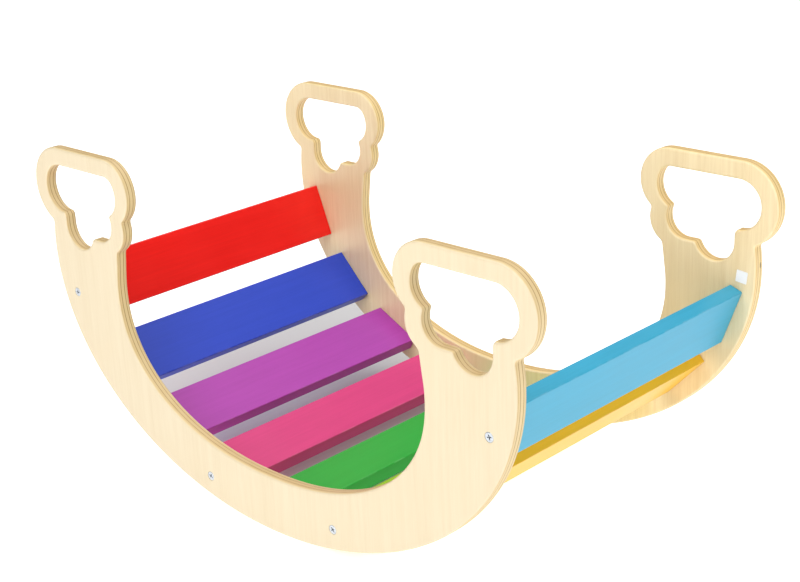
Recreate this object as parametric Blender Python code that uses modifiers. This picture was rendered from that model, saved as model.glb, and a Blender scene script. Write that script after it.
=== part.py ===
"""Rainbow rocker: two plywood side panels with cloud-shaped handles, joined by nine painted boards.

+X runs along the rocker, +Y across it and +Z is up. The origin is on the floor under the middle.
Each panel's outline is made of a half ellipse (the rocking edge), a slightly squarer one (the seat's edge)
and, at each end, a handle whose cloud shape is a few circles that meet in cusps.
"""
import math

import bmesh
import bpy
from mathutils import Matrix

# Overall sizes, in metres.
WIDTH = 0.469
PANEL_THICKNESS = 0.017
PANEL_RIM = 0.003
GAP = 0.0003

# The rocking edge is a half ellipse and the seat's edge one with a higher power, both centred on x = 0.
ROCKING_HALF_LENGTH = 0.403
ROCKING_RISE = 0.295
SEAT_HALF_LENGTH = 0.2715
SEAT_RISE = 0.1775
SEAT_POWER = 2.15
SEAT_CENTRE_HEIGHT = 0.253
NECK_START_HEIGHT = 0.276

# The cloud: circles given as (x, height, radius), for the end at +X.
OUTER_LOBE = (0.377, 0.380, 0.054)
INNER_LOBE = (0.2752, 0.390, 0.044)
LOWER_LOBE = (0.2807, 0.3421, 0.0343)
HOLE_OUTER_LOBE = (0.374, 0.3787, 0.032)
HOLE_INNER_LOBE = (0.2872, 0.3865, 0.030)
HOLE_MIDDLE_LOBE = (0.298, 0.3465, 0.026)
HOLE_LOWER_LOBE = (0.342, 0.3297, 0.0284)
HOLE_TIP_HEIGHT = 0.343

# Steps along the curves, and how far from a cusp its rounding starts.
ROCKING_STEPS = 24
SEAT_STEPS = 16
LOBE_STEP = math.radians(19)
CUSP_ROUNDING = 0.004
SHALLOW_ROUNDING = 0.008
TIP_ROUNDING = 0.0035
BEND_STEPS = 3

# The boards: colour name, and the middle's x, height and tilt in degrees, outwards from the centre.
BOARD_WIDTH = 0.078
BOARD_THICKNESS = 0.019
BOARD_EDGE = 0.0015
BOARD_PLACES = ((0.0, 0.0253, 0.0), (0.1125, 0.0398, 13.5), (0.2130, 0.0790, 27.0), (0.3018, 0.1433, 46.5),
                (0.3638, 0.2365, 69.5))
BOARD_COLOURS = {
    "red": (0.92, 0.02, 0.01),
    "blue": (0.05, 0.09, 0.55),
    "purple": (0.45, 0.08, 0.43),
    "pink": (0.80, 0.09, 0.25),
    "green": (0.06, 0.42, 0.08),
    "lime": (0.40, 0.68, 0.03),
    "yellow": (0.95, 0.75, 0.04),
    "amber": (0.90, 0.48, 0.02),
    "light_blue": (0.07, 0.48, 0.78),
}
SCREWED_BOARDS = ("red", "pink", "lime", "light_blue")

# Dowels and screws.
DOWEL_RADIUS = 0.004
DOWEL_LENGTH = 0.030
DOWEL_CHAMFER = 0.001
DOWEL_IN_PANEL = 0.010
DOWEL_SPACING = 0.048
DOWEL_SIDES = 8
SCREW_SINK = 0.0003
SCREW_HEAD_RADIUS = 0.006
SCREW_HEAD_RIM = 0.0006
SCREW_HEAD_DEPTH = 0.0037
SCREW_SHANK_RADIUS = 0.0029
SCREW_SHANK_LENGTH = 0.028
SCREW_ROOT_RADIUS = 0.0023
SCREW_LENGTH = 0.060
SCREW_TIP = 0.005
SCREW_SIDES = 16
RECESS_SPAN = 0.0064
RECESS_WIDTH = 0.0013
RECESS_DEPTH = 0.0026

# The label on the back panel's inner face, under the handle at +X.
LABEL_PLACE = (0.384, 0.289)
LABEL_SIDE = 0.0155
LABEL_TILT = math.radians(6.5)
LABEL_THICKNESS = 0.0006
LABEL_CORNER = 0.001


def clear_scene():
    for obj in list(bpy.data.objects):
        bpy.data.objects.remove(obj, do_unlink=True)


def new_collection(name):
    collection = bpy.data.collections.new(name)
    bpy.context.scene.collection.children.link(collection)
    return collection


def make_material(name, colour, roughness, metallic=0.0):
    material = bpy.data.materials.new(name)
    material.use_nodes = True
    shader = material.node_tree.nodes["Principled BSDF"]
    shader.inputs["Base Color"].default_value = (*colour, 1.0)
    shader.inputs["Roughness"].default_value = roughness
    shader.inputs["Metallic"].default_value = metallic
    return material


def place_mesh(name, mesh, collection, material=None):
    obj = bpy.data.objects.new(name, mesh)
    collection.objects.link(obj)
    if material:
        obj.data.materials.append(material)
    return obj


def as_cutter(obj):
    obj.hide_render = True
    obj.display_type = "WIRE"
    return obj


def cut(obj, cutter):
    modifier = obj.modifiers.new("cut_" + cutter.name, "BOOLEAN")
    modifier.operation = "DIFFERENCE"
    modifier.solver = "EXACT"
    modifier.object = cutter


# ---- outline helpers: all points are (x, height) pairs ----

def on_circle(circle, angle):
    x, height, radius = circle
    return (x + radius * math.cos(angle), height + radius * math.sin(angle))


def angle_on(circle, point):
    """The angle of a point seen from the circle's centre, between 0 and a full turn."""
    return math.atan2(point[1] - circle[1], point[0] - circle[0]) % math.tau


def arc(circle, start, end):
    """Points anticlockwise from one point on the circle to another."""
    first = angle_on(circle, start)
    sweep = (angle_on(circle, end) - first) % math.tau
    steps = max(2, round(sweep / LOBE_STEP))
    return [on_circle(circle, first + sweep * k / steps) for k in range(steps + 1)]


def circles_meet(first, second, side):
    """Where two circles cross, to the left (1) or right (-1) of the way from the first to the second."""
    along = math.dist(first[:2], second[:2])
    ux = (second[0] - first[0]) / along
    uz = (second[1] - first[1]) / along
    reach = (along ** 2 + first[2] ** 2 - second[2] ** 2) / (2 * along)
    off = side * math.sqrt(first[2] ** 2 - reach ** 2)
    return (first[0] + ux * reach - uz * off, first[1] + uz * reach + ux * off)


def on_circle_at_height(circle, height, side):
    """The point of the circle at this height, on its +X (1) or -X (-1) side."""
    return (circle[0] + side * math.sqrt(circle[2] ** 2 - (height - circle[1]) ** 2), height)


def rocking_point(turn):
    """A point of the rocking edge, by its angle from the lowest point."""
    return (ROCKING_HALF_LENGTH * math.sin(turn), ROCKING_RISE * (1 - math.cos(turn)))


def seat_point(turn):
    """A point of the seat's edge: a half ellipse whose power makes it a little squarer."""
    across = math.sin(turn) ** (2 / SEAT_POWER)
    down = math.copysign(abs(math.cos(turn)) ** (2 / SEAT_POWER), math.cos(turn))
    return (SEAT_HALF_LENGTH * across, SEAT_CENTRE_HEIGHT - SEAT_RISE * down)


def seat_end():
    """The angle at which the seat's edge reaches the height where the neck starts."""
    rise = (NECK_START_HEIGHT - SEAT_CENTRE_HEIGHT) / SEAT_RISE
    return math.acos(-(rise ** (SEAT_POWER / 2)))


def rocking_end():
    """The angle at which the rocking edge runs into the outer lobe, found by halving."""
    low, high = math.radians(70), math.radians(110)
    for _ in range(40):
        middle = (low + high) / 2
        if math.dist(rocking_point(middle), OUTER_LOBE[:2]) > OUTER_LOBE[2]:
            low = middle
        else:
            high = middle
    return low


def half_ellipse(point_at, end, steps):
    """Points from just beside the middle to the end, so that a flat facet spans the middle."""
    step = end / (steps - 0.5)
    return [point_at((k + 0.5) * step) for k in range(steps)]


def rocking_line():
    """The rocking edge, lowered by a hair so that its middle facet lies on the floor."""
    points = half_ellipse(rocking_point, rocking_end(), ROCKING_STEPS)
    facet_height = points[0][1]
    return [(x, height - facet_height) for x, height in points]


def between(start, end, share):
    return tuple(a + (b - a) * share for a, b in zip(start, end))


def shortened(points, length):
    """The line of points with this length taken off its end."""
    points = list(points)
    while math.dist(points[-2], points[-1]) < length:
        length -= math.dist(points[-2], points[-1])
        points.pop()
    share = length / math.dist(points[-2], points[-1])
    return points[:-1] + [between(points[-1], points[-2], share)]


def join_rounded(first, second, rounding):
    """Two lines that meet in a corner, with the corner rounded by a short quadratic curve."""
    corner = first[-1]
    head = shortened(first, rounding)
    tail = shortened(second[::-1], rounding)[::-1]
    bend = []
    for k in range(1, BEND_STEPS):
        share = k / BEND_STEPS
        bend.append(between(between(head[-1], corner, share), between(corner, tail[0], share), share))
    return head + bend + tail


def chain(lines, roundings):
    path = lines[0]
    for line, rounding in zip(lines[1:], roundings):
        path = join_rounded(path, line, rounding) if rounding else path + line[1:]
    return path


def half_outline():
    """The panel's edge for x above 0, from the floor out, round the handle and back along the seat."""
    rocking = rocking_line()
    top = OUTER_LOBE[1] + OUTER_LOBE[2]
    top_outer = (OUTER_LOBE[0], top)
    top_inner = (INNER_LOBE[0], top)
    outermost = on_circle(OUTER_LOBE, 0.0)
    upper_cusp = circles_meet(INNER_LOBE, LOWER_LOBE, -1)
    seat = half_ellipse(seat_point, seat_end(), SEAT_STEPS)[::-1]
    lower_cusp = on_circle(LOWER_LOBE, math.radians(243))
    lines = [
        rocking,
        arc(OUTER_LOBE, rocking[-1], outermost) + arc(OUTER_LOBE, outermost, top_outer)[1:] + [top_inner],
        arc(INNER_LOBE, top_inner, upper_cusp),
        arc(LOWER_LOBE, upper_cusp, lower_cusp),
        [lower_cusp, seat[0]],
        seat,
    ]
    return chain(lines, (CUSP_ROUNDING, 0, CUSP_ROUNDING, CUSP_ROUNDING, 0))


def hole_outline():
    """The handle's hole at +X, anticlockwise from its lower outer corner."""
    top = HOLE_OUTER_LOBE[1] + HOLE_OUTER_LOBE[2]
    top_outer = (HOLE_OUTER_LOBE[0], top)
    top_inner = on_circle_at_height(HOLE_INNER_LOBE, top, -1)
    side_cusp = circles_meet(HOLE_INNER_LOBE, HOLE_MIDDLE_LOBE, -1)
    floor = HOLE_MIDDLE_LOBE[1] - HOLE_MIDDLE_LOBE[2]
    shelf_start = (HOLE_MIDDLE_LOBE[0], floor)
    shelf_end = on_circle_at_height(HOLE_LOWER_LOBE, floor, -1)
    lower_side = (HOLE_LOWER_LOBE[0] + HOLE_LOWER_LOBE[2], HOLE_LOWER_LOBE[1])
    tip = (lower_side[0], HOLE_TIP_HEIGHT)
    start = (HOLE_OUTER_LOBE[0], HOLE_OUTER_LOBE[1] - HOLE_OUTER_LOBE[2])
    lines = [
        arc(HOLE_OUTER_LOBE, start, top_outer) + [top_inner],
        arc(HOLE_INNER_LOBE, top_inner, side_cusp),
        arc(HOLE_MIDDLE_LOBE, side_cusp, shelf_start) + [shelf_end],
        arc(HOLE_LOWER_LOBE, shelf_end, lower_side) + [tip],
        [tip, start],
    ]
    roundings = (SHALLOW_ROUNDING, CUSP_ROUNDING, CUSP_ROUNDING, TIP_ROUNDING)
    return chain(lines, roundings)[:-1]


def mirrored(points):
    return [(-x, height) for x, height in reversed(points)]


# ---- panels ----

def add_loop(curve, points):
    """One closed loop of straight stretches in a flat curve."""
    spline = curve.splines.new("POLY")
    spline.points.add(len(points) - 1)
    for target, (x, height) in zip(spline.points, points):
        target.co = (x, height, 0.0, 1.0)
    spline.use_cyclic_u = True


def mesh_from_curve(curve_object, name):
    """The curve's solid as a welded mesh. The curve itself is removed."""
    graph = bpy.context.evaluated_depsgraph_get()
    mesh = bpy.data.meshes.new_from_object(curve_object.evaluated_get(graph))
    mesh.name = name
    work = bmesh.new()
    work.from_mesh(mesh)
    bmesh.ops.remove_doubles(work, verts=work.verts, dist=0.00001)
    bmesh.ops.recalc_face_normals(work, faces=work.faces)
    work.to_mesh(mesh)
    work.free()
    bpy.data.objects.remove(curve_object, do_unlink=True)
    return mesh


def panel_mesh():
    """A side panel standing in the XZ plane, its middle plane at y = 0, with its rims rounded."""
    curve = bpy.data.curves.new("panel_outline", "CURVE")
    curve.dimensions = "2D"
    curve.fill_mode = "BOTH"
    curve.extrude = PANEL_THICKNESS / 2 - PANEL_RIM
    curve.bevel_depth = PANEL_RIM
    curve.bevel_resolution = 0
    curve.offset = -PANEL_RIM
    right = half_outline()
    add_loop(curve, right + mirrored(right))
    hole = hole_outline()
    add_loop(curve, hole[::-1])
    add_loop(curve, mirrored(hole)[::-1])
    helper = bpy.data.objects.new("panel_outline", curve)
    bpy.context.scene.collection.objects.link(helper)
    bpy.context.view_layer.update()
    mesh = mesh_from_curve(helper, "side_panel")
    mesh.transform(Matrix.Rotation(math.radians(90), 4, "X"))
    return mesh


def make_panels(collection, cutters, material):
    mesh = panel_mesh()
    for side, name in ((-1, "front"), (1, "back")):
        panel = place_mesh("side_panel_" + name, mesh.copy(), collection, material)
        panel.location.y = side * (WIDTH - PANEL_THICKNESS) / 2
        for cutter in cutters[side]:
            cut(panel, cutter)
    bpy.data.meshes.remove(mesh)


# ---- boards ----

def board_places():
    """(name, x, height, tilt in radians) of the nine boards, from -X to +X."""
    left = [(-x, height, -math.radians(tilt)) for x, height, tilt in BOARD_PLACES[:0:-1]]
    right = [(x, height, math.radians(tilt)) for x, height, tilt in BOARD_PLACES]
    return [(name, *place) for name, place in zip(BOARD_COLOURS, left + right)]


def board_mesh():
    length = WIDTH - 2 * PANEL_THICKNESS - 2 * GAP
    work = bmesh.new()
    bmesh.ops.create_cube(work, size=1.0)
    bmesh.ops.scale(work, vec=(BOARD_WIDTH, length, BOARD_THICKNESS), verts=work.verts)
    mesh = bpy.data.meshes.new("board")
    work.to_mesh(mesh)
    work.free()
    return mesh


def make_boards(collection, cutters):
    mesh = board_mesh()
    for name, x, height, tilt in board_places():
        material = make_material("paint_" + name, BOARD_COLOURS[name], 0.38)
        board = place_mesh("board_" + name, mesh.copy(), collection, material)
        board.location = (x, 0.0, height)
        board.rotation_euler = (0.0, -tilt, 0.0)
        edge = board.modifiers.new("eased_edges", "BEVEL")
        edge.width = BOARD_EDGE
        edge.segments = 1
        for cutter in cutters[-1] + cutters[1]:
            cut(board, cutter)
    bpy.data.meshes.remove(mesh)


# ---- dowels, screws and the holes for them ----

def rod_bmesh(work, radius, length, x, y, height, sides):
    """A rod along Y, its middle at this place, added to a bmesh."""
    turn = Matrix.Rotation(math.radians(90), 4, "X")
    bmesh.ops.create_cone(
        work, cap_ends=True, segments=sides, radius1=radius, radius2=radius, depth=length,
        matrix=Matrix.Translation((x, y, height)) @ turn)


def dowel_spots():
    """(board name, letter, x, height) of each pair of dowels, the same at both ends of a board."""
    for name, x, height, tilt in board_places():
        for letter, off in (("a", -DOWEL_SPACING / 2), ("b", DOWEL_SPACING / 2)):
            yield name, letter, x + off * math.cos(tilt), height + off * math.sin(tilt)


def dowel_middle():
    """How far from the rocker's middle plane a dowel's middle is."""
    inner_face = WIDTH / 2 - PANEL_THICKNESS
    return inner_face + DOWEL_IN_PANEL - DOWEL_LENGTH / 2


def dowel_hole_cutter(side, collection):
    radius, length = DOWEL_RADIUS + GAP, DOWEL_LENGTH + 2 * GAP
    work = bmesh.new()
    for _, _, x, height in dowel_spots():
        rod_bmesh(work, radius, length, x, side * dowel_middle(), height, DOWEL_SIDES)
    mesh = bpy.data.meshes.new("dowel_holes")
    work.to_mesh(mesh)
    work.free()
    return as_cutter(place_mesh("dowel_holes_" + ("back" if side > 0 else "front"), mesh, collection))


def dowel_mesh():
    """A dowel along Y with chamfered ends, centred on its own origin."""
    work = bmesh.new()
    rod_bmesh(work, DOWEL_RADIUS, DOWEL_LENGTH, 0.0, 0.0, 0.0, DOWEL_SIDES)
    rims = [edge for edge in work.edges if abs(edge.verts[0].co.y - edge.verts[1].co.y) < GAP]
    bmesh.ops.bevel(work, geom=rims, offset=DOWEL_CHAMFER, segments=1, affect="EDGES")
    mesh = bpy.data.meshes.new("dowel")
    work.to_mesh(mesh)
    work.free()
    return mesh


def make_dowels(collection, material):
    mesh = dowel_mesh()
    mesh.materials.append(material)
    for side, end in ((-1, "front"), (1, "back")):
        for name, letter, x, height in dowel_spots():
            dowel = place_mesh(f"dowel_{end}_{name}_{letter}", mesh, collection)
            dowel.location = (x, side * dowel_middle(), height)


def screw_profile(extra):
    """(radius, depth) pairs of a countersunk screw from its head down to its tip, grown by extra."""
    return (
        (0.0, -extra),
        (SCREW_HEAD_RADIUS + extra, -extra),
        (SCREW_HEAD_RADIUS + extra, SCREW_HEAD_RIM),
        (SCREW_SHANK_RADIUS + extra, SCREW_HEAD_DEPTH),
        (SCREW_SHANK_RADIUS + extra, SCREW_SHANK_LENGTH),
        (SCREW_ROOT_RADIUS + extra, SCREW_SHANK_LENGTH + extra + GAP),
        (SCREW_ROOT_RADIUS + extra, SCREW_LENGTH - SCREW_TIP + extra),
        (0.0, SCREW_LENGTH + 2 * extra),
    )


def turned(name, profile, sides, collection):
    """A turned solid about Z, its depth going down from the origin."""
    mesh = bpy.data.meshes.new(name)
    points = [(radius, 0.0, -depth) for radius, depth in profile]
    mesh.from_pydata(points, [(k, k + 1) for k in range(len(points) - 1)], [])
    obj = place_mesh(name, mesh, collection)
    screw = obj.modifiers.new("turned", "SCREW")
    screw.axis = "Z"
    screw.steps = sides
    screw.render_steps = sides
    screw.use_merge_vertices = True
    screw.merge_threshold = 0.00001
    return obj


def recess_arm(name, turn, collection):
    """One tapered arm of the cross recess, as a cutter from just above the head."""
    work = bmesh.new()
    bmesh.ops.create_cube(work, size=1.0)
    bmesh.ops.scale(work, vec=(RECESS_SPAN, RECESS_WIDTH, RECESS_DEPTH + GAP), verts=work.verts)
    bmesh.ops.translate(work, vec=(0.0, 0.0, (GAP - RECESS_DEPTH) / 2), verts=work.verts)
    for vert in work.verts:
        if vert.co.z < -RECESS_DEPTH / 2:
            vert.co.x *= 0.35
            vert.co.y *= 0.8
    bmesh.ops.rotate(work, cent=(0.0, 0.0, 0.0), matrix=Matrix.Rotation(turn, 3, "Z"), verts=work.verts)
    mesh = bpy.data.meshes.new(name)
    work.to_mesh(mesh)
    work.free()
    return as_cutter(place_mesh(name, mesh, collection))


def screw_mesh(cutters):
    """The finished screw as one mesh, its head's face at the origin and its tip down -Z."""
    blank = as_cutter(turned("screw_blank", screw_profile(0.0), SCREW_SIDES, cutters))
    for name, turn in (("recess_along", math.radians(20)), ("recess_across", math.radians(110))):
        cut(blank, recess_arm(name, turn, cutters))
    bpy.context.view_layer.update()
    graph = bpy.context.evaluated_depsgraph_get()
    mesh = bpy.data.meshes.new_from_object(blank.evaluated_get(graph))
    mesh.name = "screw"
    return mesh


def screw_pose(side, x, height):
    """Where a screw's head is and how it points: inwards from the panel's outer face."""
    place = Matrix.Translation((x, side * (WIDTH / 2 - SCREW_SINK), height))
    return place @ Matrix.Rotation(math.radians(-90 * side), 4, "X")


def screwed_places():
    return [place for place in board_places() if place[0] in SCREWED_BOARDS]


def screw_hole_cutter(side, collection):
    """All screw holes of one panel in one cutter."""
    shape = turned("screw_hole", screw_profile(GAP), SCREW_SIDES, collection)
    bpy.context.view_layer.update()
    graph = bpy.context.evaluated_depsgraph_get()
    hole = bpy.data.meshes.new_from_object(shape.evaluated_get(graph))
    bpy.data.objects.remove(shape, do_unlink=True)
    work = bmesh.new()
    for _, x, height, _ in screwed_places():
        one = hole.copy()
        one.transform(screw_pose(side, x, height))
        work.from_mesh(one)
        bpy.data.meshes.remove(one)
    mesh = bpy.data.meshes.new("screw_holes")
    work.to_mesh(mesh)
    work.free()
    bpy.data.meshes.remove(hole)
    return as_cutter(place_mesh("screw_holes_" + ("back" if side > 0 else "front"), mesh, collection))


def make_screws(collection, cutters, material):
    mesh = screw_mesh(cutters)
    mesh.materials.append(material)
    for side, end in ((-1, "front"), (1, "back")):
        for name, x, height, _ in screwed_places():
            screw = place_mesh(f"screw_{end}_{name}", mesh, collection)
            screw.matrix_world = screw_pose(side, x, height)


def make_label(collection, material):
    """A thin, slightly crooked square with rounded corners, lying against the back panel's inner face."""
    work = bmesh.new()
    bmesh.ops.create_cube(work, size=1.0)
    bmesh.ops.scale(work, vec=(LABEL_SIDE, LABEL_THICKNESS, LABEL_SIDE), verts=work.verts)
    corners = [edge for edge in work.edges if abs(edge.verts[0].co.y - edge.verts[1].co.y) > GAP]
    bmesh.ops.bevel(work, geom=corners, offset=LABEL_CORNER, segments=3, affect="EDGES", profile=0.5)
    mesh = bpy.data.meshes.new("label")
    work.to_mesh(mesh)
    work.free()
    label = place_mesh("label", mesh, collection, material)
    face = WIDTH / 2 - PANEL_THICKNESS - GAP
    label.location = (LABEL_PLACE[0], face - LABEL_THICKNESS / 2, LABEL_PLACE[1])
    label.rotation_euler = (0.0, LABEL_TILT, 0.0)


def shade_round_pieces(collection):
    for obj in collection.objects:
        obj.data.shade_smooth()
        obj.data.set_sharp_from_angle(angle=math.radians(35))


def main():
    clear_scene()
    parts = new_collection("rainbow_rocker")
    helpers = new_collection("cutters")
    plywood = make_material("birch_plywood", (0.88, 0.74, 0.52), 0.5)
    beech = make_material("dowel_wood", (0.70, 0.50, 0.30), 0.6)
    zinc = make_material("zinc_steel", (0.70, 0.73, 0.76), 0.3, 1.0)
    paper = make_material("label_paper", (0.90, 0.90, 0.88), 0.5)
    cutters = {side: [dowel_hole_cutter(side, helpers), screw_hole_cutter(side, helpers)] for side in (-1, 1)}
    make_panels(parts, cutters, plywood)
    make_boards(parts, cutters)
    make_dowels(parts, beech)
    make_screws(parts, helpers, zinc)
    make_label(parts, paper)
    shade_round_pieces(parts)


main()
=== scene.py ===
"""Visual model of the rainbow rocker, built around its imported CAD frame.

Everything is in metres in the frame's own axes: +X along the rocker, +Y across it and +Z up.
"""
import math

import bmesh
import bpy
from mathutils import Matrix, Vector


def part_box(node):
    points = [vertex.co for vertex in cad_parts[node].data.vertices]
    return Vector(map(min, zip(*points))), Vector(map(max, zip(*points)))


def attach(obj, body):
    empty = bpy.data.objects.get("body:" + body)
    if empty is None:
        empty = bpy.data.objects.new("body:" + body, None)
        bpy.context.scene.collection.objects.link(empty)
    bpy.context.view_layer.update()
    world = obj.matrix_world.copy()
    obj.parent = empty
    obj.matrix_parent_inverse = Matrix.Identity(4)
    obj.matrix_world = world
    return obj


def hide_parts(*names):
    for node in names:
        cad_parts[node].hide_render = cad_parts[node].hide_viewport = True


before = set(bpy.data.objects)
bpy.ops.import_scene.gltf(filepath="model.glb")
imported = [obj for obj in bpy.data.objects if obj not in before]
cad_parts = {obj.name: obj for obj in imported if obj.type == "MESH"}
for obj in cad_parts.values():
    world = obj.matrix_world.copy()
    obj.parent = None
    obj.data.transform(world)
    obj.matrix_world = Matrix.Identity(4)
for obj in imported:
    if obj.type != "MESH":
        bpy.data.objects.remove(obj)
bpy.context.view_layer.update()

# ---- sizes, the same as the CAD's ----
WIDTH = 0.469
PANEL_THICKNESS = 0.017
PANEL_RIM = 0.003
END_GAP = 0.0003

ROCKING_HALF_LENGTH = 0.403
ROCKING_RISE = 0.295
SEAT_HALF_LENGTH = 0.2715
SEAT_RISE = 0.1775
SEAT_POWER = 2.15
SEAT_CENTRE_HEIGHT = 0.253
NECK_START_HEIGHT = 0.276

OUTER_LOBE = (0.377, 0.380, 0.054)
INNER_LOBE = (0.2752, 0.390, 0.044)
LOWER_LOBE = (0.2807, 0.3421, 0.0343)
HOLE_OUTER_LOBE = (0.374, 0.3787, 0.032)
HOLE_INNER_LOBE = (0.2872, 0.3865, 0.030)
HOLE_MIDDLE_LOBE = (0.298, 0.3465, 0.026)
HOLE_LOWER_LOBE = (0.342, 0.3297, 0.0284)
HOLE_TIP_HEIGHT = 0.343
CUSP_ROUNDING = 0.004
SHALLOW_ROUNDING = 0.008
TIP_ROUNDING = 0.0035

BOARD_WIDTH = 0.078
BOARD_THICKNESS = 0.019
BOARD_EDGE = 0.0015
BOARD_PLACES = ((0.0, 0.0253, 0.0), (0.1125, 0.0398, 13.5), (0.2130, 0.0790, 27.0), (0.3018, 0.1433, 46.5),
                (0.3638, 0.2365, 69.5))

DOWEL_HOLE_RADIUS = 0.0043
DOWEL_HOLE_IN_PANEL = 0.0103
DOWEL_HOLE_IN_BOARD = 0.0203
DOWEL_SPACING = 0.048

SCREW_SINK = 0.0003
SCREW_HEAD_RADIUS = 0.006
SCREW_HEAD_DEPTH = 0.0037
SCREW_HEAD_RIM = 0.0006
SCREW_SHANK_RADIUS = 0.0029
SCREW_SHANK_LENGTH = 0.028
SCREW_ROOT_RADIUS = 0.0023
SCREW_LENGTH = 0.060
SCREW_TIP = 0.005
SCREWED_BOARDS = ("red", "pink", "lime", "light_blue")

LABEL_SIDE = 0.0155
LABEL_TILT = math.radians(6.5)
LABEL_CORNER = 0.001

# ---- finer sizes, which the CAD leaves out or keeps plainer ----
SCREW_HOLE_ROOM = 0.00015
SCREW_HOLE_CHAMFER = 0.0007
CUTTER_LEAD = 0.002
RECESS_SPAN = 0.0064
RECESS_WIDTH = 0.0013
RECESS_DEPTH = 0.0026
RECESS_LEAD = 0.001
TICK_SPAN = 0.0040
TICK_WIDTH = 0.0007
TICK_DEPTH = 0.0004
LABEL_THICKNESS = 0.00025

# ---- how finely the pieces are made ----
ROCKING_STEPS = 90
SEAT_STEPS = 64
LOBE_STEP = math.radians(4)
BEND_STEPS = 7
RIM_RESOLUTION = 3
BOARD_EDGE_SEGMENTS = 5
DOWEL_HOLE_SIDES = 24
SCREW_HOLE_SIDES = 32
SCREW_SIDES = 48
LABEL_CORNER_STEPS = 6
WELD_DISTANCE = 0.00001
SHARP_ANGLE = math.radians(40)

# ---- colours, as linear values ----
PAINTS = {
    "red": (0.960, 0.0087, 0.0052),
    "blue": (0.023, 0.065, 0.585),
    "purple": (0.420, 0.048, 0.408),
    "pink": (0.665, 0.041, 0.200),
    "green": (0.023, 0.405, 0.046),
    "lime": (0.330, 0.600, 0.014),
    "yellow": (0.860, 0.640, 0.034),
    "amber": (0.860, 0.480, 0.0155),
    "light_blue": (0.036, 0.375, 0.575),
}


# ---- outlines: all points are (x, height) pairs ----

def on_circle(circle, angle):
    """A point of a circle given as (x, height, radius)."""
    x, height, radius = circle
    return (x + radius * math.cos(angle), height + radius * math.sin(angle))


def angle_on(circle, point):
    """The angle of a point seen from the circle's centre, between 0 and a full turn."""
    return math.atan2(point[1] - circle[1], point[0] - circle[0]) % math.tau


def arc(circle, start, end):
    """Points anticlockwise from one point on the circle to another."""
    first = angle_on(circle, start)
    sweep = (angle_on(circle, end) - first) % math.tau
    steps = max(2, round(sweep / LOBE_STEP))
    return [on_circle(circle, first + sweep * k / steps) for k in range(steps + 1)]


def circles_meet(first, second, side):
    """Where two circles cross, to the left (1) or right (-1) of the way from the first to the second."""
    along = math.dist(first[:2], second[:2])
    ux = (second[0] - first[0]) / along
    uz = (second[1] - first[1]) / along
    reach = (along ** 2 + first[2] ** 2 - second[2] ** 2) / (2 * along)
    off = side * math.sqrt(first[2] ** 2 - reach ** 2)
    return (first[0] + ux * reach - uz * off, first[1] + uz * reach + ux * off)


def on_circle_at_height(circle, height, side):
    """The point of the circle at this height, on its +X (1) or -X (-1) side."""
    return (circle[0] + side * math.sqrt(circle[2] ** 2 - (height - circle[1]) ** 2), height)


def rocking_point(turn):
    """A point of the rocking edge, by its angle from the lowest point."""
    return (ROCKING_HALF_LENGTH * math.sin(turn), ROCKING_RISE * (1 - math.cos(turn)))


def seat_point(turn):
    """A point of the seat's edge: a half ellipse whose power makes it a little squarer."""
    across = math.sin(turn) ** (2 / SEAT_POWER)
    down = math.copysign(abs(math.cos(turn)) ** (2 / SEAT_POWER), math.cos(turn))
    return (SEAT_HALF_LENGTH * across, SEAT_CENTRE_HEIGHT - SEAT_RISE * down)


def seat_end():
    """The angle at which the seat's edge reaches the height where the neck starts."""
    rise = (NECK_START_HEIGHT - SEAT_CENTRE_HEIGHT) / SEAT_RISE
    return math.acos(-(rise ** (SEAT_POWER / 2)))


def rocking_end():
    """The angle at which the rocking edge runs into the outer lobe, found by halving."""
    low, high = math.radians(70), math.radians(110)
    for _ in range(40):
        middle = (low + high) / 2
        if math.dist(rocking_point(middle), OUTER_LOBE[:2]) > OUTER_LOBE[2]:
            low = middle
        else:
            high = middle
    return low


def half_ellipse(point_at, end, steps):
    """Points from just beside the middle to the end."""
    step = end / (steps - 0.5)
    return [point_at((k + 0.5) * step) for k in range(steps)]


def between(start, end, share):
    return tuple(a + (b - a) * share for a, b in zip(start, end))


def shortened(points, length):
    """The line of points with this length taken off its end."""
    points = list(points)
    while math.dist(points[-2], points[-1]) < length:
        length -= math.dist(points[-2], points[-1])
        points.pop()
    share = length / math.dist(points[-2], points[-1])
    return points[:-1] + [between(points[-1], points[-2], share)]


def join_rounded(first, second, rounding):
    """Two lines that meet in a corner, with the corner rounded by a short quadratic curve."""
    corner = first[-1]
    head = shortened(first, rounding)
    tail = shortened(second[::-1], rounding)[::-1]
    bend = []
    for k in range(1, BEND_STEPS):
        share = k / BEND_STEPS
        bend.append(between(between(head[-1], corner, share), between(corner, tail[0], share), share))
    return head + bend + tail


def chain(lines, roundings):
    path = lines[0]
    for line, rounding in zip(lines[1:], roundings):
        path = join_rounded(path, line, rounding) if rounding else path + line[1:]
    return path


def half_outline():
    """The panel's edge for x above 0, from the floor out, round the handle and back along the seat."""
    rocking = half_ellipse(rocking_point, rocking_end(), ROCKING_STEPS)
    top = OUTER_LOBE[1] + OUTER_LOBE[2]
    top_outer = (OUTER_LOBE[0], top)
    top_inner = (INNER_LOBE[0], top)
    upper_cusp = circles_meet(INNER_LOBE, LOWER_LOBE, -1)
    seat = half_ellipse(seat_point, seat_end(), SEAT_STEPS)[::-1]
    lower_cusp = on_circle(LOWER_LOBE, math.radians(243))
    lines = [
        rocking,
        arc(OUTER_LOBE, rocking[-1], top_outer) + [top_inner],
        arc(INNER_LOBE, top_inner, upper_cusp),
        arc(LOWER_LOBE, upper_cusp, lower_cusp),
        [lower_cusp, seat[0]],
        seat,
    ]
    return chain(lines, (CUSP_ROUNDING, 0, CUSP_ROUNDING, CUSP_ROUNDING, 0))


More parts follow.
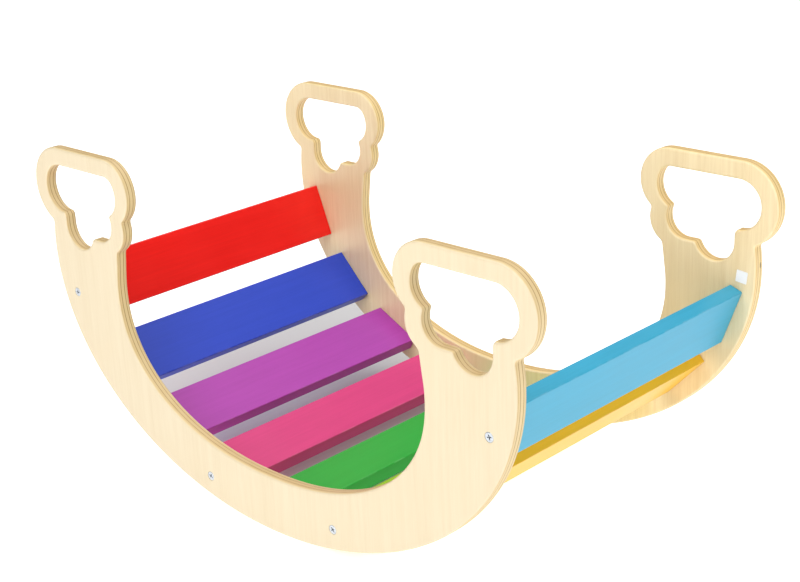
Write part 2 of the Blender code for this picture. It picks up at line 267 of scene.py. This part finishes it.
def hole_outline():
    """The handle's hole at +X, anticlockwise from its lower outer corner."""
    top = HOLE_OUTER_LOBE[1] + HOLE_OUTER_LOBE[2]
    top_outer = (HOLE_OUTER_LOBE[0], top)
    top_inner = on_circle_at_height(HOLE_INNER_LOBE, top, -1)
    side_cusp = circles_meet(HOLE_INNER_LOBE, HOLE_MIDDLE_LOBE, -1)
    floor = HOLE_MIDDLE_LOBE[1] - HOLE_MIDDLE_LOBE[2]
    shelf_start = (HOLE_MIDDLE_LOBE[0], floor)
    shelf_end = on_circle_at_height(HOLE_LOWER_LOBE, floor, -1)
    lower_side = (HOLE_LOWER_LOBE[0] + HOLE_LOWER_LOBE[2], HOLE_LOWER_LOBE[1])
    tip = (lower_side[0], HOLE_TIP_HEIGHT)
    start = (HOLE_OUTER_LOBE[0], HOLE_OUTER_LOBE[1] - HOLE_OUTER_LOBE[2])
    lines = [
        arc(HOLE_OUTER_LOBE, start, top_outer) + [top_inner],
        arc(HOLE_INNER_LOBE, top_inner, side_cusp),
        arc(HOLE_MIDDLE_LOBE, side_cusp, shelf_start) + [shelf_end],
        arc(HOLE_LOWER_LOBE, shelf_end, lower_side) + [tip],
        [tip, start],
    ]
    roundings = (SHALLOW_ROUNDING, CUSP_ROUNDING, CUSP_ROUNDING, TIP_ROUNDING)
    return chain(lines, roundings)[:-1]


def mirrored(points):
    return [(-x, height) for x, height in reversed(points)]


# ---- meshes ----

def place_mesh(name, mesh):
    obj = bpy.data.objects.new(name, mesh)
    bpy.context.scene.collection.objects.link(obj)
    return obj


def mesh_from(work, name):
    mesh = bpy.data.meshes.new(name)
    work.to_mesh(mesh)
    work.free()
    return mesh


def new_piece(name, mesh, material):
    """A visible piece in the scene, with this material alone."""
    mesh.materials.clear()
    mesh.materials.append(material)
    return place_mesh(name, mesh)


def declare(piece, node):
    """The piece rides on the frame in place of its CAD node."""
    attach(piece, "root")
    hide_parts(node)


def add_loop(curve, points):
    spline = curve.splines.new("POLY")
    spline.points.add(len(points) - 1)
    for target, (x, height) in zip(spline.points, points):
        target.co = (x, height, 0.0, 1.0)
    spline.use_cyclic_u = True


def evaluated_mesh(obj, name):
    graph = bpy.context.evaluated_depsgraph_get()
    mesh = bpy.data.meshes.new_from_object(obj.evaluated_get(graph))
    mesh.name = name
    return mesh


def panel_mesh():
    """A side panel standing in the XZ plane with its middle plane at y = 0 and its rims rounded."""
    curve = bpy.data.curves.new("panel_outline", "CURVE")
    curve.dimensions = "2D"
    curve.fill_mode = "BOTH"
    curve.extrude = PANEL_THICKNESS / 2 - PANEL_RIM
    curve.bevel_depth = PANEL_RIM
    curve.bevel_resolution = RIM_RESOLUTION
    curve.offset = -PANEL_RIM
    right = half_outline()
    add_loop(curve, right + mirrored(right))
    hole = hole_outline()
    add_loop(curve, hole[::-1])
    add_loop(curve, mirrored(hole)[::-1])
    helper = bpy.data.objects.new("panel_outline", curve)
    bpy.context.scene.collection.objects.link(helper)
    bpy.context.view_layer.update()
    mesh = evaluated_mesh(helper, "side_panel")
    bpy.data.objects.remove(helper, do_unlink=True)
    work = bmesh.new()
    work.from_mesh(mesh)
    bmesh.ops.remove_doubles(work, verts=work.verts, dist=WELD_DISTANCE)
    bmesh.ops.recalc_face_normals(work, faces=work.faces)
    bmesh.ops.rotate(work, verts=work.verts, matrix=Matrix.Rotation(math.radians(90), 3, "X"))
    work.to_mesh(mesh)
    work.free()
    return mesh


def board_places():
    """Each board's middle x, height and tilt in radians, by name and from -X to +X."""
    left = [(-x, height, -math.radians(tilt)) for x, height, tilt in BOARD_PLACES[:0:-1]]
    right = [(x, height, math.radians(tilt)) for x, height, tilt in BOARD_PLACES]
    return dict(zip(PAINTS, left + right))


def dowel_spots(place):
    """The (x, height) of a board's two dowels, the same at both of its ends."""
    x, height, tilt = place
    for off in (-DOWEL_SPACING / 2, DOWEL_SPACING / 2):
        yield x + off * math.cos(tilt), height + off * math.sin(tilt)


def turned(work, profile, sides, matrix):
    """A closed solid of revolution about local Z, from (radius, z) pairs that start and end on the axis."""
    rings = []
    for radius, z in profile:
        if radius == 0:
            rings.append([work.verts.new(matrix @ Vector((0, 0, z)))])
            continue
        ring = []
        for k in range(sides):
            angle = math.tau * k / sides
            point = Vector((radius * math.cos(angle), radius * math.sin(angle), z))
            ring.append(work.verts.new(matrix @ point))
        rings.append(ring)
    for lower, upper in zip(rings, rings[1:]):
        for k in range(sides):
            after = (k + 1) % sides
            if len(lower) == 1:
                work.faces.new((lower[0], upper[k], upper[after]))
            elif len(upper) == 1:
                work.faces.new((lower[k], upper[0], lower[after]))
            else:
                work.faces.new((lower[k], upper[k], upper[after], lower[after]))


def into_panel(side, x, height, depth=0.0):
    """Local Z pointing inwards from a panel's outer face, and the origin on that face."""
    turn = Matrix.Rotation(math.radians(90 if side > 0 else -90), 4, "X")
    return Matrix.Translation((x, side * (WIDTH / 2 - depth), height)) @ turn


def dowel_hole_profile():
    """(radius, depth) pairs of a dowel's hole, half in the panel and half in the board."""
    start = PANEL_THICKNESS - DOWEL_HOLE_IN_PANEL
    end = PANEL_THICKNESS + DOWEL_HOLE_IN_BOARD
    return ((0, start), (DOWEL_HOLE_RADIUS, start), (DOWEL_HOLE_RADIUS, end), (0, end))


def screw_hole_profile():
    """(radius, depth) pairs of a countersunk hole, its mouth chamfered and its cutter starting outside."""
    mouth = SCREW_HEAD_RADIUS + SCREW_HOLE_ROOM
    shank = SCREW_SHANK_RADIUS + SCREW_HOLE_ROOM
    lip = mouth + SCREW_HOLE_CHAMFER
    return (
        (0, -CUTTER_LEAD), (lip, -CUTTER_LEAD), (lip, 0.0), (mouth, SCREW_SINK),
        (mouth, SCREW_SINK + SCREW_HEAD_RIM), (shank, SCREW_HEAD_DEPTH), (shank, SCREW_LENGTH),
        (0, SCREW_LENGTH + CUTTER_LEAD / 2),
    )


def hole_cutter(side):
    """Every dowel hole and screw hole of one side, as one mesh."""
    work = bmesh.new()
    for name, place in board_places().items():
        for x, height in dowel_spots(place):
            turned(work, dowel_hole_profile(), DOWEL_HOLE_SIDES, into_panel(side, x, height))
        if name in SCREWED_BOARDS:
            turned(work, screw_hole_profile(), SCREW_HOLE_SIDES, into_panel(side, place[0], place[1]))
    bmesh.ops.recalc_face_normals(work, faces=work.faces)
    return place_mesh("holes", mesh_from(work, "holes"))


def cut_all(obj, cutters):
    """The object with every cutter taken away from it, its modifiers applied."""
    for cutter in cutters:
        modifier = obj.modifiers.new("cut", "BOOLEAN")
        modifier.operation = "DIFFERENCE"
        modifier.solver = "EXACT"
        modifier.object = cutter
    bpy.context.view_layer.update()
    mesh = evaluated_mesh(obj, obj.name)
    obj.modifiers.clear()
    obj.data = mesh


def soft_normals(obj):
    """Smooth shading in which the large flat faces keep their own direction."""
    for polygon in obj.data.polygons:
        polygon.use_smooth = True
    work = bmesh.new()
    work.from_mesh(obj.data)
    for edge in work.edges:
        edge.smooth = not (edge.is_manifold and edge.calc_face_angle(0.0) > SHARP_ANGLE)
    work.to_mesh(obj.data)
    work.free()
    weighted = obj.modifiers.new("weighted", "WEIGHTED_NORMAL")
    weighted.weight = 100
    weighted.keep_sharp = True


def board_mesh(name):
    """A board with softly rounded edges, along Y, centred on its own origin."""
    length = WIDTH - 2 * PANEL_THICKNESS - 2 * END_GAP
    work = bmesh.new()
    bmesh.ops.create_cube(work, size=1.0)
    bmesh.ops.scale(work, vec=(BOARD_WIDTH, length, BOARD_THICKNESS), verts=work.verts)
    bmesh.ops.bevel(work, geom=work.edges[:], offset=BOARD_EDGE, segments=BOARD_EDGE_SEGMENTS, profile=0.5,
                    affect="EDGES")
    return mesh_from(work, name)


def screw_mesh():
    """A countersunk cross-head screw along local Z: the head's top at z = 0, the tip at SCREW_LENGTH."""
    work = bmesh.new()
    head = SCREW_HEAD_RADIUS
    profile = (
        (0, 0.0), (head - 0.0011, 0.0), (head - 0.0006, 0.00004), (head - 0.00025, 0.00016),
        (head - 0.00006, 0.00034), (head, SCREW_HEAD_RIM), (head - 0.0001, SCREW_HEAD_RIM + 0.00012),
        (SCREW_SHANK_RADIUS, SCREW_HEAD_DEPTH), (SCREW_SHANK_RADIUS, SCREW_SHANK_LENGTH),
        (SCREW_ROOT_RADIUS, SCREW_SHANK_LENGTH + 0.0006), (SCREW_ROOT_RADIUS, SCREW_LENGTH - SCREW_TIP),
        (0.0002, SCREW_LENGTH - 0.0001), (0, SCREW_LENGTH),
    )
    turned(work, profile, SCREW_SIDES, Matrix.Identity(4))
    bmesh.ops.recalc_face_normals(work, faces=work.faces)
    screw = place_mesh("screw", mesh_from(work, "screw"))
    cutters = [
        recess_arm(0.0, RECESS_SPAN, RECESS_WIDTH, RECESS_DEPTH),
        recess_arm(90.0, RECESS_SPAN, RECESS_WIDTH, RECESS_DEPTH),
        recess_arm(45.0, TICK_SPAN, TICK_WIDTH, TICK_DEPTH),
    ]
    for cutter in cutters:
        cut_all(screw, [cutter])
    mesh = screw.data
    bpy.data.objects.remove(screw, do_unlink=True)
    for cutter in cutters:
        bpy.data.objects.remove(cutter, do_unlink=True)
    return mesh


def recess_arm(turn, span, width, depth):
    """One bar of the cross recess, or the fine tick between its bars: it tapers across the head."""
    mouth = (-RECESS_LEAD, span / 2 * 1.22, width / 2 * 1.12)
    bottom = (depth, span * 0.24, width * 0.40)
    work = bmesh.new()
    corners = []
    for z, half_span, half_width in (mouth, bottom):
        for sx, sy in ((-1, -1), (1, -1), (1, 1), (-1, 1)):
            corners.append(work.verts.new((sx * half_span, sy * half_width, z)))
    for quad in ((0, 1, 2, 3), (4, 7, 6, 5), (0, 4, 5, 1), (1, 5, 6, 2), (2, 6, 7, 3), (3, 7, 4, 0)):
        work.faces.new([corners[k] for k in quad])
    bmesh.ops.rotate(work, verts=work.verts, matrix=Matrix.Rotation(math.radians(turn), 3, "Z"))
    bmesh.ops.recalc_face_normals(work, faces=work.faces)
    return place_mesh("arm", mesh_from(work, "arm"))


def label_mesh():
    """A thin, slightly crooked square sticker with rounded corners, and where its back goes."""
    low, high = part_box("label")
    inset = LABEL_SIDE / 2 - LABEL_CORNER
    outline = []
    for quarter in range(4):
        cx = inset * (1 if quarter in (0, 3) else -1)
        cz = inset * (1 if quarter in (0, 1) else -1)
        for k in range(LABEL_CORNER_STEPS + 1):
            angle = math.radians(90 * quarter + 90 * k / LABEL_CORNER_STEPS)
            outline.append((cx + LABEL_CORNER * math.cos(angle), cz + LABEL_CORNER * math.sin(angle)))
    work = bmesh.new()
    back = [work.verts.new((x, 0.0, z)) for x, z in outline]
    front = [work.verts.new((x, -LABEL_THICKNESS, z)) for x, z in outline]
    work.faces.new(back)
    work.faces.new(front)
    for k in range(len(outline)):
        after = (k + 1) % len(outline)
        work.faces.new((back[k], back[after], front[after], front[k]))
    bmesh.ops.recalc_face_normals(work, faces=work.faces)
    place = Vector(((low.x + high.x) / 2, high.y, (low.z + high.z) / 2))
    return mesh_from(work, "sticker"), place


# ---- node helpers ----

class Shade:
    """Short calls for building a material's nodes."""

    def __init__(self, name):
        self.material = bpy.data.materials.new(name)
        self.material.use_nodes = True
        self.tree = self.material.node_tree
        self.shader = self.tree.nodes["Principled BSDF"]

    def node(self, kind, settings=None, inputs=None):
        made = self.tree.nodes.new(kind)
        for key, value in (settings or {}).items():
            setattr(made, key, value)
        for key, value in (inputs or {}).items():
            if isinstance(value, bpy.types.NodeSocket):
                self.tree.links.new(value, made.inputs[key])
            else:
                made.inputs[key].default_value = value
        return made

    def coordinates(self):
        return self.node("ShaderNodeTexCoord").outputs["Object"]

    def math(self, operation, a, b=0.0, c=0.0):
        return self.node("ShaderNodeMath", {"operation": operation}, {0: a, 1: b, 2: c}).outputs[0]

    def mapped(self, vector, scale, offset=(0.0, 0.0, 0.0)):
        inputs = {"Vector": vector, "Scale": scale, "Location": offset}
        return self.node("ShaderNodeMapping", None, inputs).outputs[0]

    def noise(self, vector, scale=1.0, detail=2.0, roughness=0.5):
        inputs = {"Vector": vector, "Scale": scale, "Detail": detail, "Roughness": roughness}
        return self.node("ShaderNodeTexNoise", None, inputs).outputs[0]

    def wobble(self, vector, amount):
        """Soft noise around zero."""
        return self.math("MULTIPLY", self.math("SUBTRACT", self.noise(vector), 0.5), amount)

    def blend_of(self, *parts):
        """The sum of (value, weight) pairs."""
        value, weight = parts[-1]
        total = self.math("MULTIPLY", value, weight)
        for value, weight in reversed(parts[:-1]):
            total = self.math("MULTIPLY_ADD", value, weight, total)
        return total

    def ranged(self, value, low, high, to_low=0.0, to_high=1.0, smooth=False):
        """The value moved from one range to another and held inside it."""
        settings = {"interpolation_type": "SMOOTHSTEP" if smooth else "LINEAR", "clamp": True}
        inputs = {"Value": value, "From Min": low, "From Max": high, "To Min": to_low, "To Max": to_high}
        return self.node("ShaderNodeMapRange", settings, inputs).outputs[0]

    def mixed(self, factor, a, b, blend="MIX"):
        """Two colours mixed: a colour is a tuple or a socket, and so is the factor a number or a socket."""
        settings = {"data_type": "RGBA", "blend_type": blend}
        made = self.node("ShaderNodeMix", settings)
        for index, value in ((0, factor), (6, a), (7, b)):
            if isinstance(value, bpy.types.NodeSocket):
                self.tree.links.new(value, made.inputs[index])
            elif index:
                made.inputs[index].default_value = (*value, 1.0)
            else:
                made.inputs[index].default_value = value
        return made.outputs[2]

    def ramp(self, value, stops):
        """A colour ramp from (place, colour) pairs."""
        made = self.node("ShaderNodeValToRGB", None, {"Fac": value})
        elements = made.color_ramp.elements
        while len(elements) < len(stops):
            elements.new(0.5)
        for element, (place, colour) in zip(elements, stops):
            element.position = place
            element.color = (*colour, 1.0)
        return made.outputs[0]

    def bump(self, height, strength, distance):
        inputs = {"Height": height, "Strength": strength, "Distance": distance}
        return self.node("ShaderNodeBump", None, inputs).outputs[0]

    def set(self, **values):
        """Sets or links the shader's inputs, named with _ for each space."""
        for key, value in values.items():
            socket = self.shader.inputs[key.replace("_", " ")]
            if isinstance(value, bpy.types.NodeSocket):
                self.tree.links.new(value, socket)
            elif isinstance(value, tuple):
                socket.default_value = (*value, 1.0)
            else:
                socket.default_value = value


# ---- materials ----

FACE_LIGHT = (0.84, 0.71, 0.46)
FACE_DARK = (0.70, 0.54, 0.29)
FACE_WARM = (0.81, 0.63, 0.36)
PLY_LIGHT = (0.82, 0.64, 0.31)
PLY_DARK = (0.46, 0.25, 0.075)
PLY_MIDDLE = (0.70, 0.50, 0.215)
GLUE = (0.30, 0.14, 0.03)
KNOT = (0.13, 0.075, 0.035)

# Where each layer of the plywood starts, as a share of the way from the middle plane to a face.
DARK_PLY = 0.27
DARK_PLY_END_UPRIGHT = 0.36
DARK_PLY_END_LEVEL = 0.34
OUTER_PLY = 0.62
FACE_PLY = 0.84
GLUE_LINE = 0.02


def birch_face(s, grain, moved, streaks, fibres, calm):
    """The sanded face: upright grain, warmer clouds and short pores, calmed by a share of its light tone."""
    broad = s.noise(s.mapped(grain, (30.0, 8.0, 1.5)), 1.0, 3.0, 0.55)
    pores = s.noise(s.mapped(grain, (900.0, 300.0, 75.0)), 1.0, 2.0, 0.5)
    cloud = s.noise(moved, 9.0, 3.0, 0.5)
    tone = s.blend_of((broad, 0.30), (streaks, 0.42), (fibres, 0.28))
    face = s.mixed(s.ranged(tone, 0.40, 0.60), FACE_LIGHT, FACE_DARK)
    face = s.mixed(s.ranged(cloud, 0.45, 0.72, 0.0, 0.6, True), face, FACE_WARM)
    face = s.mixed(s.ranged(pores, 0.64, 0.78, 0.0, 0.16), face, PLY_DARK)
    return s.mixed(calm, face, FACE_LIGHT)


def birch_plies(s, share, moved):
    """The cut edge: layers by depth, seen end-on or lengthways by which way the edge faces."""
    start, after = DARK_PLY - GLUE_LINE, DARK_PLY + GLUE_LINE
    upright = s.ramp(share, (
        (0.0, PLY_LIGHT), (start, PLY_LIGHT), (DARK_PLY, GLUE), (after, PLY_DARK),
        (DARK_PLY_END_UPRIGHT, PLY_DARK), (DARK_PLY_END_UPRIGHT + 2 * GLUE_LINE, PLY_LIGHT),
        (OUTER_PLY, PLY_LIGHT), (OUTER_PLY + GLUE_LINE, PLY_MIDDLE), (FACE_PLY, PLY_MIDDLE)))
    level = s.ramp(share, (
        (0.0, PLY_MIDDLE), (start, PLY_MIDDLE), (DARK_PLY, GLUE), (after, PLY_DARK),
        (DARK_PLY_END_LEVEL, PLY_DARK), (DARK_PLY_END_LEVEL + 1.5 * GLUE_LINE, PLY_MIDDLE),
        (OUTER_PLY, PLY_MIDDLE), (OUTER_PLY + GLUE_LINE, PLY_LIGHT), (FACE_PLY, PLY_LIGHT)))
    normal = s.node("ShaderNodeTexCoord").outputs["Normal"]
    facing = s.node("ShaderNodeSeparateXYZ", None, {0: normal}).outputs
    nx = s.math("MULTIPLY", facing[0], facing[0])
    nz = s.math("MULTIPLY", facing[2], facing[2])
    levelness = s.math("DIVIDE", nz, s.math("ADD", s.math("ADD", nx, nz), 0.001))
    patchy = s.noise(s.mapped(moved, (55.0, 160.0, 55.0)), 1.0, 3.0, 0.6)
    return s.mixed(s.ranged(patchy, 0.35, 0.65, 0.0, 0.22), s.mixed(levelness, upright, level), FACE_WARM)


def with_knot(s, place, colour, centre, size):
    """A small dark knot: distance from its centre, stretched to its size, with a broken rim."""
    shape = s.mapped(place, tuple(1 / a for a in size), tuple(-c / a for c, a in zip(centre, size)))
    far = s.node("ShaderNodeVectorMath", {"operation": "LENGTH"}, {0: shape}).outputs["Value"]
    rim = s.math("MULTIPLY_ADD", s.noise(place, 700.0, 2.0), 0.7, far)
    return s.mixed(s.ranged(rim, 0.85, 1.45, 0.85, 0.0, True), colour, KNOT)


def plywood(name, offset, knots, painted_light_tint, calm):
    """Birch plywood: layers stacked along Y, their grain along Z and X by turns, and upright face grain. Its
    colour is multiplied by a tint of painted light and shade, set per panel.
    """
    s = Shade(name)
    place = s.coordinates()
    moved = s.mapped(place, (1.0, 1.0, 1.0), offset)
    # The grain wanders a little sideways.
    wander = s.wobble(s.mapped(moved, (5.0, 5.0, 2.2)), 0.022)
    sway = s.node("ShaderNodeCombineXYZ", None, {0: wander, 1: 0.0, 2: 0.0}).outputs[0]
    grain = s.node("ShaderNodeVectorMath", {"operation": "ADD"}, {0: moved, 1: sway}).outputs[0]
    streaks = s.noise(s.mapped(grain, (230.0, 60.0, 6.0)), 1.0, 4.0, 0.6)
    fibres = s.noise(s.mapped(grain, (1300.0, 400.0, 36.0)), 1.0, 3.0, 0.6)
    # The layers' depth from the middle plane, with a slight ripple.
    depth = s.node("ShaderNodeSeparateXYZ", None, {0: place}).outputs[1]
    ripple = s.wobble(s.mapped(moved, (22.0, 22.0, 22.0)), 0.0010)
    share = s.math("MULTIPLY", s.math("ABSOLUTE", s.math("ADD", depth, ripple)), 2 / PANEL_THICKNESS)
    face = birch_face(s, grain, moved, streaks, fibres, calm)
    colour = s.mixed(s.ranged(share, 0.80, 0.87), birch_plies(s, share, moved), face)
    for centre, size in knots:
        colour = with_knot(s, place, colour, centre, size)
    rough = s.math("MULTIPLY_ADD", streaks, 0.16, s.ranged(share, 0.5, 0.9, 0.46, 0.36))
    relief = s.blend_of((fibres, 0.6), (streaks, 0.4))
    # The painted light tint makes this copy of the wood darker for one panel (painted shade) and lighter for
    # the other (painted light).
    s.set(Base_Color=s.mixed(1.0, colour, painted_light_tint, "MULTIPLY"), Roughness=rough)
    s.set(Normal=s.bump(relief, 0.22, 0.00025))
    s.set(Coat_Weight=0.12, Coat_Roughness=0.28)
    return s.material


def edge_rub(s, place, moved):
    """A broken rub along a board's long edges, from 0 on the faces to its strength on the very edge."""
    split = s.node("ShaderNodeSeparateXYZ", None, {0: place}).outputs
    nearness = []
    for coordinate, half in ((split[0], BOARD_WIDTH / 2), (split[2], BOARD_THICKNESS / 2)):
        nearness.append(s.ranged(s.math("ABSOLUTE", coordinate), half - 0.0018, half - 0.0003))
    patches = s.ranged(s.noise(s.mapped(moved, (60.0, 40.0, 60.0)), 1.0, 4.0, 0.65), 0.42, 0.62)
    return s.math("MULTIPLY", s.math("MULTIPLY", *nearness), s.math("MULTIPLY", patches, 0.30))


def paint(name, colour, offset):
    """Satin paint on a board: faint grain under it, a little orange peel and slightly rubbed edges."""
    s = Shade(name)
    place = s.coordinates()
    moved = s.mapped(place, (1.0, 1.0, 1.0), offset)
    grain = s.noise(s.mapped(moved, (170.0, 5.0, 170.0)), 1.0, 4.0, 0.6)
    fine = s.noise(s.mapped(moved, (900.0, 26.0, 900.0)), 1.0, 2.0, 0.6)
    cloud = s.noise(moved, 14.0, 3.0, 0.5)
    peel = s.noise(moved, 620.0, 2.0, 0.5)
    lighter = tuple(min(1.0, c * 1.035 + 0.003) for c in colour)
    darker = tuple(c * 0.955 for c in colour)
    pale = tuple(c + (0.80 - c) * 0.42 for c in colour)
    tone = s.blend_of((cloud, 0.25), (grain, 0.50), (fine, 0.25))
    body = s.mixed(s.ranged(tone, 0.38, 0.62), darker, lighter)
    rough = s.math("MULTIPLY_ADD", cloud, 0.10, s.math("MULTIPLY_ADD", grain, 0.06, 0.30))
    relief = s.blend_of((peel, 0.35), (grain, 0.45), (fine, 0.2))
    s.set(Base_Color=s.mixed(edge_rub(s, place, moved), body, pale), Roughness=rough)
    s.set(Normal=s.bump(relief, 0.12, 0.0003))
    s.set(Specular_IOR_Level=0.34, Coat_Weight=0.03, Coat_Roughness=0.30)
    return s.material


def dowel_wood():
    """Plain beech with fine grain and short dark flecks along Y."""
    s = Shade("dowel_beech")
    place = s.coordinates()
    grain = s.noise(s.mapped(place, (500.0, 25.0, 500.0)), 1.0, 4.0, 0.6)
    flecks = s.noise(s.mapped(place, (1600.0, 160.0, 1600.0)), 1.0, 2.0)
    colour = s.mixed(s.ranged(grain, 0.35, 0.65), (0.70, 0.48, 0.27), (0.56, 0.35, 0.18))
    s.set(Base_Color=s.mixed(s.ranged(flecks, 0.6, 0.75, 0.0, 0.4), colour, (0.34, 0.19, 0.09)))
    s.set(Roughness=s.ranged(grain, 0.3, 0.7, 0.52, 0.66), Normal=s.bump(grain, 0.3, 0.0002))
    return s.material


def zinc():
    """Zinc-plated steel with a cloudy, lightly scuffed plating."""
    s = Shade("zinc_plated_steel")
    place = s.coordinates()
    cloud = s.noise(place, 380.0, 4.0, 0.6)
    scuff = s.noise(s.mapped(place, (2600.0, 2600.0, 2600.0)), 1.0, 3.0)
    colour = s.mixed(s.ranged(cloud, 0.35, 0.65), (0.60, 0.64, 0.68), (0.46, 0.49, 0.52))
    s.set(Base_Color=colour, Metallic=1.0, Roughness=s.ranged(cloud, 0.3, 0.7, 0.24, 0.42))
    s.set(Normal=s.bump(scuff, 0.15, 0.00008))
    return s.material


def sticker_paper():
    """White paper with faint clouds and fibres."""
    s = Shade("sticker_paper")
    place = s.coordinates()
    fibres = s.noise(s.mapped(place, (900.0, 900.0, 900.0)), 1.0, 4.0, 0.6)
    cloud = s.noise(place, 90.0, 2.0)
    colour = s.mixed(s.ranged(cloud, 0.3, 0.7), (0.95, 0.95, 0.95), (0.90, 0.90, 0.89))
    colour = s.mixed(s.ranged(fibres, 0.45, 0.75, 0.0, 0.25), colour, (0.70, 0.70, 0.68))
    s.set(Base_Color=colour, Roughness=s.ranged(fibres, 0.3, 0.7, 0.48, 0.60))
    s.set(Normal=s.bump(fibres, 0.2, 0.0001))
    return s.material


def floor_material():
    """A pale floor that glows softly, with a painted shadow: its glow is weaker in a slanting patch under
    the rocker's middle and -X half.
    """
    s = Shade("floor")
    place = s.coordinates()
    cloud = s.noise(place, 1.3, 3.0)
    s.set(Base_Color=s.mixed(cloud, (0.63, 0.63, 0.635), (0.60, 0.60, 0.605)), Roughness=0.75)
    x, y, _ = s.node("ShaderNodeSeparateXYZ", None, {0: place}).outputs
    from_left = s.ranged(x, -0.74, -0.50, 0.0, 1.0, True)
    from_right = s.ranged(x, 0.02, 0.15, 1.0, 0.0, True)
    behind = s.ranged(s.math("MULTIPLY_ADD", x, 0.37, y), 0.245, 0.310, 1.0, 0.0, True)
    before = s.ranged(s.math("MULTIPLY_ADD", x, 0.25, y), -0.215, -0.170, 0.0, 1.0, True)
    # Painted shadow: this patch dims the floor's glow under the rocker, where shade falls.
    painted_shadow_patch = s.math("MULTIPLY", s.math("MULTIPLY", from_left, from_right), s.math("MULTIPLY", behind, before))
    s.set(Emission_Color=(1.0, 1.0, 1.0), Emission_Strength=s.ranged(painted_shadow_patch, 0.0, 1.0, 0.84, 0.10))
    return s.material


# ---- the pieces ----

# For each panel: where its grain is taken from, its knots (place, size), its painted light tint and how calm
# its face is. The tint is painted shade on the front panel's copy, darker and cooler, and painted light on
# the back panel's copy, lighter and warmer.
KNOT_ON_EDGE = ((0.4030, 0.0024, 0.3050), (0.0040, 0.0018, 0.0046))
PANEL_WOOD_AND_PAINTED_LIGHT = {
    -1: ((3.1, 0.0, 1.7), (), (0.92, 0.925, 0.985), 0.70),
    1: ((8.6, 0.4, 5.2), (KNOT_ON_EDGE,), (1.09, 1.07, 1.03), 0.42),
}
ENDS = ((-1, "front"), (1, "back"))


def make_panels(cutters):
    outline = panel_mesh()
    for side, end in ENDS:
        # Each panel gets its own copy of the plywood: the front's painted darker, the back's painted
        # lighter.
        material = plywood("birch_plywood_" + end, *PANEL_WOOD_AND_PAINTED_LIGHT[side])
        panel = new_piece("panel_" + end, outline.copy(), material)
        panel.location.y = side * (WIDTH - PANEL_THICKNESS) / 2
        cut_all(panel, [cutters[side]])
        soft_normals(panel)
        declare(panel, "side_panel_" + end)


def make_boards(cutters):
    for index, (name, (x, height, tilt)) in enumerate(board_places().items()):
        material = paint("paint_" + name, PAINTS[name], (index * 1.7, index * 0.9, index * 0.4))
        board = new_piece("slat_" + name, board_mesh("slat_" + name), material)
        board.location = (x, 0.0, height)
        board.rotation_euler = (0.0, -tilt, 0.0)
        cut_all(board, [cutters[-1], cutters[1]])
        soft_normals(board)
        declare(board, "board_" + name)


def make_screws():
    """The screws, each turned differently in its hole."""
    steel = zinc()
    shape = screw_mesh()
    for side, end in ENDS:
        for index, name in enumerate(SCREWED_BOARDS):
            x, height, _ = board_places()[name]
            screw = new_piece(f"cross_screw_{end}_{name}", shape.copy(), steel)
            turn = Matrix.Rotation(math.radians(17 + 23 * index + 9 * side), 4, "Z")
            screw.matrix_world = into_panel(side, x, height, SCREW_SINK) @ turn
            soft_normals(screw)
            declare(screw, f"screw_{end}_{name}")


def make_sticker():
    shape, place = label_mesh()
    sticker = new_piece("sticker", shape, sticker_paper())
    sticker.location = place
    sticker.rotation_euler = (0.0, LABEL_TILT, 0.0)
    declare(sticker, "label")


def finish_dowels():
    """The frame's own dowels stay, with a better material."""
    beech = dowel_wood()
    for name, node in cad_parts.items():
        if name.startswith("dowel_"):
            node.data.materials.clear()
            node.data.materials.append(beech)


# ---- floor, lights and camera ----

LIGHT_TARGET = (0.05, -0.05, 0.2)


def make_floor():
    work = bmesh.new()
    bmesh.ops.create_grid(work, x_segments=1, y_segments=1, size=30.0)
    floor = new_piece("floor", mesh_from(work, "floor"), floor_material())
    floor.location.z = -0.0002


def make_world():
    world = bpy.data.worlds.new("studio")
    world.use_nodes = True
    background = world.node_tree.nodes["Background"]
    background.inputs["Color"].default_value = (1.0, 1.0, 1.0, 1.0)
    background.inputs["Strength"].default_value = 0.10
    bpy.context.scene.world = world


def softbox(name, place, target, size, power):
    """A square white area light that the camera doesn't see."""
    light = bpy.data.lights.new(name, "AREA")
    light.shape = "SQUARE"
    light.size = size
    light.energy = power
    lamp = bpy.data.objects.new(name, light)
    lamp.location = place
    aim = Vector(target) - Vector(place)
    lamp.rotation_euler = aim.to_track_quat("-Z", "Y").to_euler()
    lamp.visible_camera = False
    bpy.context.scene.collection.objects.link(lamp)


def make_lights():
    softbox("overhead", (0.0, 0.0, 4.0), (0.0, 0.0, 0.0), 7.0, 246.0)
    softbox("front", (0.1, -1.7, 1.2), LIGHT_TARGET, 0.8, 7.4)
    softbox("far_front", (0.6, -3.6, 1.3), LIGHT_TARGET, 1.6, 21.0)
    softbox("right", (1.7, -0.3, 1.2), LIGHT_TARGET, 0.8, 7.0)


def make_camera():
    """A long lens in front of the rocker and to its right, looking down on it."""
    data = bpy.data.cameras.new("camera")
    data.sensor_width = 36.0
    data.lens = 70.148
    data.shift_x = -0.02315
    data.shift_y = 0.02985
    data.clip_start = 0.05
    data.clip_end = 200.0
    camera = bpy.data.objects.new("camera", data)
    right = Vector((0.73125685, 0.68101658, -0.03846864))
    up = Vector((-0.21856546, 0.28736661, 0.93255004))
    back = Vector((0.64613664, -0.67352569, 0.35898550))
    place = Vector((1.3338, -1.3440, 0.9431))
    axes = Matrix((right, up, back)).transposed()
    camera.matrix_world = Matrix.Translation(place) @ axes.to_4x4()
    bpy.context.scene.collection.objects.link(camera)
    bpy.context.scene.camera = camera
    bpy.context.scene.view_settings.view_transform = "Standard"


def corners(box):
    return [[float(value) for value in corner] for corner in box]


hole_cutters = {side: hole_cutter(side) for side, _ in ENDS}
make_panels(hole_cutters)
make_boards(hole_cutters)
for hole in hole_cutters.values():
    bpy.data.objects.remove(hole, do_unlink=True)
make_screws()
make_sticker()
finish_dowels()
make_floor()
make_world()
make_lights()
make_camera()
